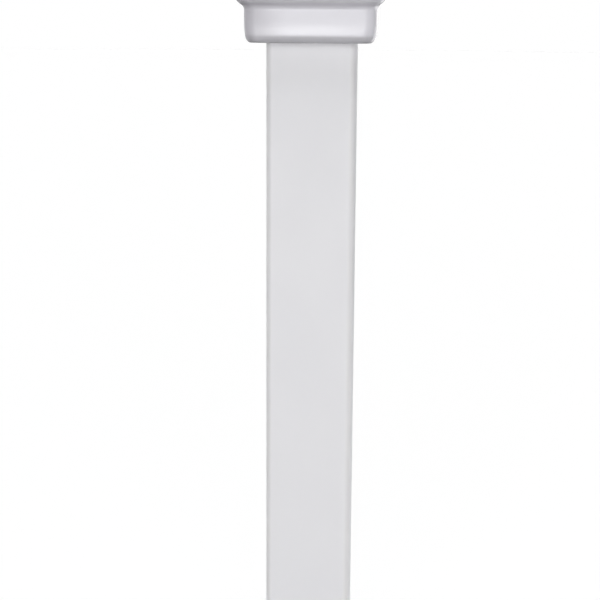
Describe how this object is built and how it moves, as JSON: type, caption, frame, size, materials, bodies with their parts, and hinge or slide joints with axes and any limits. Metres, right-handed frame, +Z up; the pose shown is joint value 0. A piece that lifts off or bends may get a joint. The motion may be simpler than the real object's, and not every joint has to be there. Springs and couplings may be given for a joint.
{
  "type": "deck baluster",
  "caption": "Square deck baluster: a plain square post with eased edges under a moulded capital, whose flat top seats a handrail and whose foot stands flat.",
  "frame": {"origin": "centre of the shaft's flat foot, on the surface that the baluster stands on", "axes": "+Z up along the shaft, -Y the front face; the four sides are alike"},
  "size_m": [0.148, 0.148, 0.914],
  "materials": {
    "shaft_paint": "satin white paint over planed wood",
    "capital_paint": "satin white paint over a moulded capital"
  },
  "bodies": {
    "root": {"shaft": "shaft_paint", "capital": "capital_paint"}
  },
  "joints": []
}
